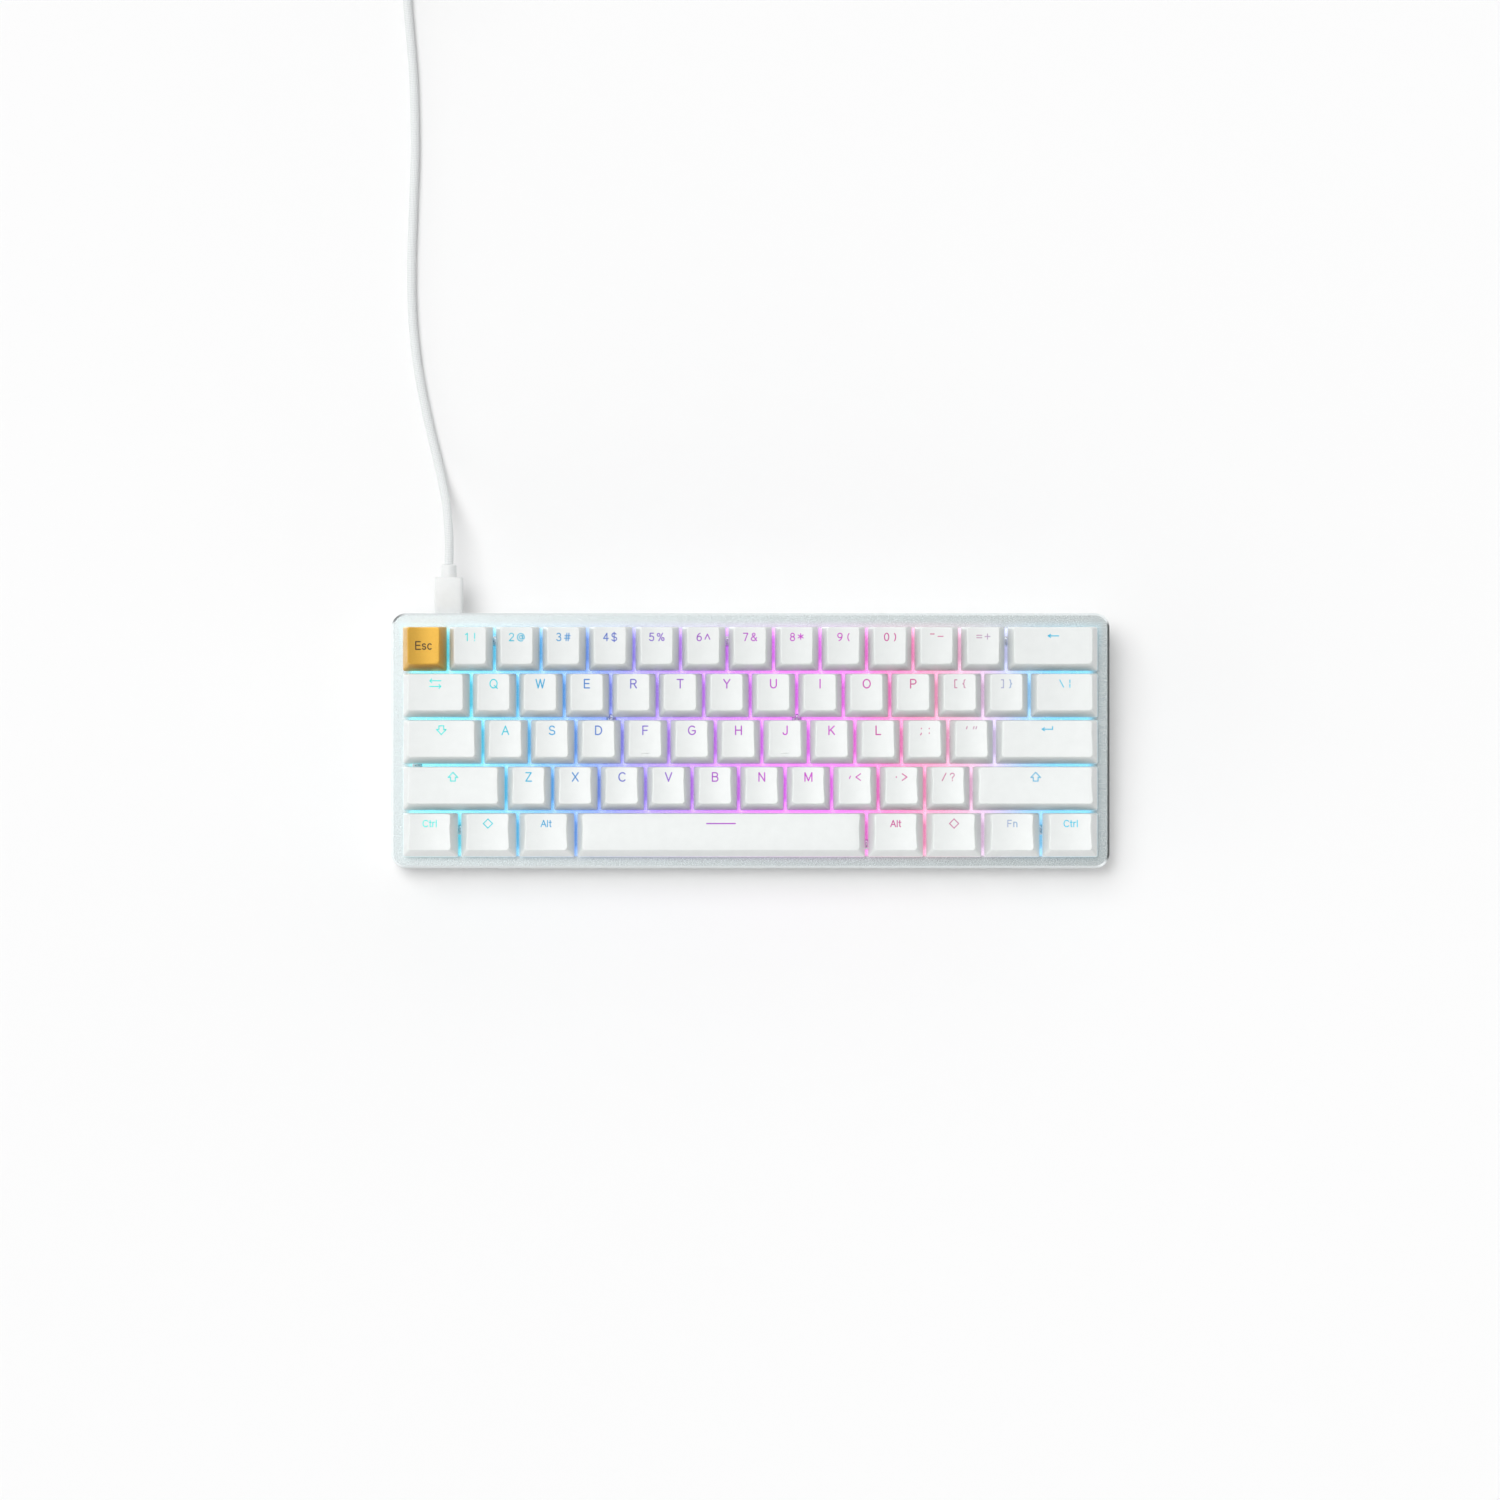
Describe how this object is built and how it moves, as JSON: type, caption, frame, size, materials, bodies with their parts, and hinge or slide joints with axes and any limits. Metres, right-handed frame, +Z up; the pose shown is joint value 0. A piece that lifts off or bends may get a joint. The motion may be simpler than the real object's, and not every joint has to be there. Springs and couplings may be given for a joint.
{
  "type": "compact mechanical keyboard",
  "caption": "Compact mechanical keyboard: sloping aluminium plate over a moulded tray, separately sprung keycaps on plate-mounted switches, and a woven lead plugged in at the back left.",
  "frame": {"origin": "on the desk, under the middle of the case, level with the undersides of the rubber feet", "axes": "+X to the typist's right along the case, +Y to the back where the lead leaves, +Z up"},
  "size_m": [0.295, 0.4585, 0.0397],
  "materials": {
    "plate": "sand-blasted and clear anodised, chamfered edge bright",
    "case_shell": "fine moulded texture, satin",
    "circuit_board": "white solder mask and white switch housings",
    "socket_metal": "plated steel shell",
    "foot_rubber": "smooth matte rubber strip",
    "plug_moulding": "soft satin overmould",
    "cable_braid": "fine woven sleeve",
    "keycap": "fine texture, satin, with clear legends lit from below",
    "accent_keycap": "metallic gold paint, satin"
  },
  "bodies": {
    "keyboard_body": {"bottom_case": "case_shell", "top_plate": "plate", "circuit_board_with_switches": "circuit_board", "usb_c_socket": "socket_metal", "front_foot": "foot_rubber", "rear_foot": "foot_rubber", "usb_c_plug": "plug_moulding", "cable": "cable_braid", "cable_coil": "cable_braid", "usb_a_plug": "plug_moulding"},
    "key_esc": {"key_esc": "accent_keycap"},
    "key_backspace": {"key_backspace": "keycap"},
    "key_tab": {"key_tab": "keycap"},
    "key_q": {"key_q": "keycap"},
    "key_w": {"key_w": "keycap"},
    "key_e": {"key_e": "keycap"},
    "key_r": {"key_r": "keycap"},
    "key_t": {"key_t": "keycap"},
    "key_y": {"key_y": "keycap"},
    "key_u": {"key_u": "keycap"},
    "key_i": {"key_i": "keycap"},
    "key_o": {"key_o": "keycap"},
    "key_p": {"key_p": "keycap"},
    "key_left_bracket": {"key_left_bracket": "keycap"},
    "key_right_bracket": {"key_right_bracket": "keycap"},
    "key_backslash": {"key_backslash": "keycap"},
    "key_caps_lock": {"key_caps_lock": "keycap"},
    "key_a": {"key_a": "keycap"},
    "key_s": {"key_s": "keycap"},
    "key_d": {"key_d": "keycap"},
    "key_f": {"key_f": "keycap"},
    "key_g": {"key_g": "keycap"},
    "key_h": {"key_h": "keycap"},
    "key_j": {"key_j": "keycap"},
    "key_k": {"key_k": "keycap"},
    "key_l": {"key_l": "keycap"},
    "key_semicolon": {"key_semicolon": "keycap"},
    "key_apostrophe": {"key_apostrophe": "keycap"},
    "key_enter": {"key_enter": "keycap"},
    "key_left_shift": {"key_left_shift": "keycap"},
    "key_z": {"key_z": "keycap"},
    "key_x": {"key_x": "keycap"},
    "key_c": {"key_c": "keycap"},
    "key_v": {"key_v": "keycap"},
    "key_b": {"key_b": "keycap"},
    "key_n": {"key_n": "keycap"},
    "key_m": {"key_m": "keycap"},
    "key_comma": {"key_comma": "keycap"},
    "key_period": {"key_period": "keycap"},
    "key_slash": {"key_slash": "keycap"},
    "key_right_shift": {"key_right_shift": "keycap"},
    "key_left_ctrl": {"key_left_ctrl": "keycap"},
    "key_left_meta": {"key_left_meta": "keycap"},
    "key_left_alt": {"key_left_alt": "keycap"},
    "key_space": {"key_space": "keycap"},
    "key_right_alt": {"key_right_alt": "keycap"},
    "key_right_meta": {"key_right_meta": "keycap"},
    "key_fn": {"key_fn": "keycap"},
    "key_right_ctrl": {"key_right_ctrl": "keycap"},
    "number_row_keys": {"number_row_keys": "keycap"}
  },
  "joints": [
    {"name": "esc_press", "type": "slide", "parent": "keyboard_body", "child": "key_esc", "axis": [0, 0.1045, -0.9945], "range_m": [0, 0.004], "stiffness_N_per_m": 110, "springref_m": -0.0035},
    {"name": "backspace_press", "type": "slide", "parent": "keyboard_body", "child": "key_backspace", "axis": [0, 0.1045, -0.9945], "range_m": [0, 0.004], "stiffness_N_per_m": 110, "springref_m": -0.0035},
    {"name": "tab_press", "type": "slide", "parent": "keyboard_body", "child": "key_tab", "axis": [0, 0.1045, -0.9945], "range_m": [0, 0.004], "stiffness_N_per_m": 110, "springref_m": -0.0035},
    {"name": "key_q_press", "type": "slide", "parent": "keyboard_body", "child": "key_q", "axis": [0, 0.1045, -0.9945], "range_m": [0, 0.004], "stiffness_N_per_m": 110, "springref_m": -0.0035},
    {"name": "key_w_press", "type": "slide", "parent": "keyboard_body", "child": "key_w", "axis": [0, 0.1045, -0.9945], "range_m": [0, 0.004], "stiffness_N_per_m": 110, "springref_m": -0.0035},
    {"name": "key_e_press", "type": "slide", "parent": "keyboard_body", "child": "key_e", "axis": [0, 0.1045, -0.9945], "range_m": [0, 0.004], "stiffness_N_per_m": 110, "springref_m": -0.0035},
    {"name": "key_r_press", "type": "slide", "parent": "keyboard_body", "child": "key_r", "axis": [0, 0.1045, -0.9945], "range_m": [0, 0.004], "stiffness_N_per_m": 110, "springref_m": -0.0035},
    {"name": "key_t_press", "type": "slide", "parent": "keyboard_body", "child": "key_t", "axis": [0, 0.1045, -0.9945], "range_m": [0, 0.004], "stiffness_N_per_m": 110, "springref_m": -0.0035},
    {"name": "key_y_press", "type": "slide", "parent": "keyboard_body", "child": "key_y", "axis": [0, 0.1045, -0.9945], "range_m": [0, 0.004], "stiffness_N_per_m": 110, "springref_m": -0.0035},
    {"name": "key_u_press", "type": "slide", "parent": "keyboard_body", "child": "key_u", "axis": [0, 0.1045, -0.9945], "range_m": [0, 0.004], "stiffness_N_per_m": 110, "springref_m": -0.0035},
    {"name": "key_i_press", "type": "slide", "parent": "keyboard_body", "child": "key_i", "axis": [0, 0.1045, -0.9945], "range_m": [0, 0.004], "stiffness_N_per_m": 110, "springref_m": -0.0035},
    {"name": "key_o_press", "type": "slide", "parent": "keyboard_body", "child": "key_o", "axis": [0, 0.1045, -0.9945], "range_m": [0, 0.004], "stiffness_N_per_m": 110, "springref_m": -0.0035},
    {"name": "key_p_press", "type": "slide", "parent": "keyboard_body", "child": "key_p", "axis": [0, 0.1045, -0.9945], "range_m": [0, 0.004], "stiffness_N_per_m": 110, "springref_m": -0.0035},
    {"name": "left_bracket_press", "type": "slide", "parent": "keyboard_body", "child": "key_left_bracket", "axis": [0, 0.1045, -0.9945], "range_m": [0, 0.004], "stiffness_N_per_m": 110, "springref_m": -0.0035},
    {"name": "right_bracket_press", "type": "slide", "parent": "keyboard_body", "child": "key_right_bracket", "axis": [0, 0.1045, -0.9945], "range_m": [0, 0.004], "stiffness_N_per_m": 110, "springref_m": -0.0035},
    {"name": "backslash_press", "type": "slide", "parent": "keyboard_body", "child": "key_backslash", "axis": [0, 0.1045, -0.9945], "range_m": [0, 0.004], "stiffness_N_per_m": 110, "springref_m": -0.0035},
    {"name": "caps_lock_press", "type": "slide", "parent": "keyboard_body", "child": "key_caps_lock", "axis": [0, 0.1045, -0.9945], "range_m": [0, 0.004], "stiffness_N_per_m": 110, "springref_m": -0.0035},
    {"name": "key_a_press", "type": "slide", "parent": "keyboard_body", "child": "key_a", "axis": [0, 0.1045, -0.9945], "range_m": [0, 0.004], "stiffness_N_per_m": 110, "springref_m": -0.0035},
    {"name": "key_s_press", "type": "slide", "parent": "keyboard_body", "child": "key_s", "axis": [0, 0.1045, -0.9945], "range_m": [0, 0.004], "stiffness_N_per_m": 110, "springref_m": -0.0035},
    {"name": "key_d_press", "type": "slide", "parent": "keyboard_body", "child": "key_d", "axis": [0, 0.1045, -0.9945], "range_m": [0, 0.004], "stiffness_N_per_m": 110, "springref_m": -0.0035},
    {"name": "key_f_press", "type": "slide", "parent": "keyboard_body", "child": "key_f", "axis": [0, 0.1045, -0.9945], "range_m": [0, 0.004], "stiffness_N_per_m": 110, "springref_m": -0.0035},
    {"name": "key_g_press", "type": "slide", "parent": "keyboard_body", "child": "key_g", "axis": [0, 0.1045, -0.9945], "range_m": [0, 0.004], "stiffness_N_per_m": 110, "springref_m": -0.0035},
    {"name": "key_h_press", "type": "slide", "parent": "keyboard_body", "child": "key_h", "axis": [0, 0.1045, -0.9945], "range_m": [0, 0.004], "stiffness_N_per_m": 110, "springref_m": -0.0035},
    {"name": "key_j_press", "type": "slide", "parent": "keyboard_body", "child": "key_j", "axis": [0, 0.1045, -0.9945], "range_m": [0, 0.004], "stiffness_N_per_m": 110, "springref_m": -0.0035},
    {"name": "key_k_press", "type": "slide", "parent": "keyboard_body", "child": "key_k", "axis": [0, 0.1045, -0.9945], "range_m": [0, 0.004], "stiffness_N_per_m": 110, "springref_m": -0.0035},
    {"name": "key_l_press", "type": "slide", "parent": "keyboard_body", "child": "key_l", "axis": [0, 0.1045, -0.9945], "range_m": [0, 0.004], "stiffness_N_per_m": 110, "springref_m": -0.0035},
    {"name": "semicolon_press", "type": "slide", "parent": "keyboard_body", "child": "key_semicolon", "axis": [0, 0.1045, -0.9945], "range_m": [0, 0.004], "stiffness_N_per_m": 110, "springref_m": -0.0035},
    {"name": "apostrophe_press", "type": "slide", "parent": "keyboard_body", "child": "key_apostrophe", "axis": [0, 0.1045, -0.9945], "range_m": [0, 0.004], "stiffness_N_per_m": 110, "springref_m": -0.0035},
    {"name": "enter_press", "type": "slide", "parent": "keyboard_body", "child": "key_enter", "axis": [0, 0.1045, -0.9945], "range_m": [0, 0.004], "stiffness_N_per_m": 110, "springref_m": -0.0035},
    {"name": "left_shift_press", "type": "slide", "parent": "keyboard_body", "child": "key_left_shift", "axis": [0, 0.1045, -0.9945], "range_m": [0, 0.004], "stiffness_N_per_m": 110, "springref_m": -0.0035},
    {"name": "key_z_press", "type": "slide", "parent": "keyboard_body", "child": "key_z", "axis": [0, 0.1045, -0.9945], "range_m": [0, 0.004], "stiffness_N_per_m": 110, "springref_m": -0.0035},
    {"name": "key_x_press", "type": "slide", "parent": "keyboard_body", "child": "key_x", "axis": [0, 0.1045, -0.9945], "range_m": [0, 0.004], "stiffness_N_per_m": 110, "springref_m": -0.0035},
    {"name": "key_c_press", "type": "slide", "parent": "keyboard_body", "child": "key_c", "axis": [0, 0.1045, -0.9945], "range_m": [0, 0.004], "stiffness_N_per_m": 110, "springref_m": -0.0035},
    {"name": "key_v_press", "type": "slide", "parent": "keyboard_body", "child": "key_v", "axis": [0, 0.1045, -0.9945], "range_m": [0, 0.004], "stiffness_N_per_m": 110, "springref_m": -0.0035},
    {"name": "key_b_press", "type": "slide", "parent": "keyboard_body", "child": "key_b", "axis": [0, 0.1045, -0.9945], "range_m": [0, 0.004], "stiffness_N_per_m": 110, "springref_m": -0.0035},
    {"name": "key_n_press", "type": "slide", "parent": "keyboard_body", "child": "key_n", "axis": [0, 0.1045, -0.9945], "range_m": [0, 0.004], "stiffness_N_per_m": 110, "springref_m": -0.0035},
    {"name": "key_m_press", "type": "slide", "parent": "keyboard_body", "child": "key_m", "axis": [0, 0.1045, -0.9945], "range_m": [0, 0.004], "stiffness_N_per_m": 110, "springref_m": -0.0035},
    {"name": "comma_press", "type": "slide", "parent": "keyboard_body", "child": "key_comma", "axis": [0, 0.1045, -0.9945], "range_m": [0, 0.004], "stiffness_N_per_m": 110, "springref_m": -0.0035},
    {"name": "period_press", "type": "slide", "parent": "keyboard_body", "child": "key_period", "axis": [0, 0.1045, -0.9945], "range_m": [0, 0.004], "stiffness_N_per_m": 110, "springref_m": -0.0035},
    {"name": "slash_press", "type": "slide", "parent": "keyboard_body", "child": "key_slash", "axis": [0, 0.1045, -0.9945], "range_m": [0, 0.004], "stiffness_N_per_m": 110, "springref_m": -0.0035},
    {"name": "right_shift_press", "type": "slide", "parent": "keyboard_body", "child": "key_right_shift", "axis": [0, 0.1045, -0.9945], "range_m": [0, 0.004], "stiffness_N_per_m": 110, "springref_m": -0.0035},
    {"name": "left_ctrl_press", "type": "slide", "parent": "keyboard_body", "child": "key_left_ctrl", "axis": [0, 0.1045, -0.9945], "range_m": [0, 0.004], "stiffness_N_per_m": 110, "springref_m": -0.0035},
    {"name": "left_meta_press", "type": "slide", "parent": "keyboard_body", "child": "key_left_meta", "axis": [0, 0.1045, -0.9945], "range_m": [0, 0.004], "stiffness_N_per_m": 110, "springref_m": -0.0035},
    {"name": "left_alt_press", "type": "slide", "parent": "keyboard_body", "child": "key_left_alt", "axis": [0, 0.1045, -0.9945], "range_m": [0, 0.004], "stiffness_N_per_m": 110, "springref_m": -0.0035},
    {"name": "space_press", "type": "slide", "parent": "keyboard_body", "child": "key_space", "axis": [0, 0.1045, -0.9945], "range_m": [0, 0.004], "stiffness_N_per_m": 110, "springref_m": -0.0035},
    {"name": "right_alt_press", "type": "slide", "parent": "keyboard_body", "child": "key_right_alt", "axis": [0, 0.1045, -0.9945], "range_m": [0, 0.004], "stiffness_N_per_m": 110, "springref_m": -0.0035},
    {"name": "right_meta_press", "type": "slide", "parent": "keyboard_body", "child": "key_right_meta", "axis": [0, 0.1045, -0.9945], "range_m": [0, 0.004], "stiffness_N_per_m": 110, "springref_m": -0.0035},
    {"name": "fn_press", "type": "slide", "parent": "keyboard_body", "child": "key_fn", "axis": [0, 0.1045, -0.9945], "range_m": [0, 0.004], "stiffness_N_per_m": 110, "springref_m": -0.0035},
    {"name": "right_ctrl_press", "type": "slide", "parent": "keyboard_body", "child": "key_right_ctrl", "axis": [0, 0.1045, -0.9945], "range_m": [0, 0.004], "stiffness_N_per_m": 110, "springref_m": -0.0035},
    {"name": "number_row_press", "type": "slide", "parent": "keyboard_body", "child": "number_row_keys", "axis": [0, 0.1045, -0.9945], "range_m": [0, 0.004], "stiffness_N_per_m": 600, "springref_m": -0.0035}
  ]
}
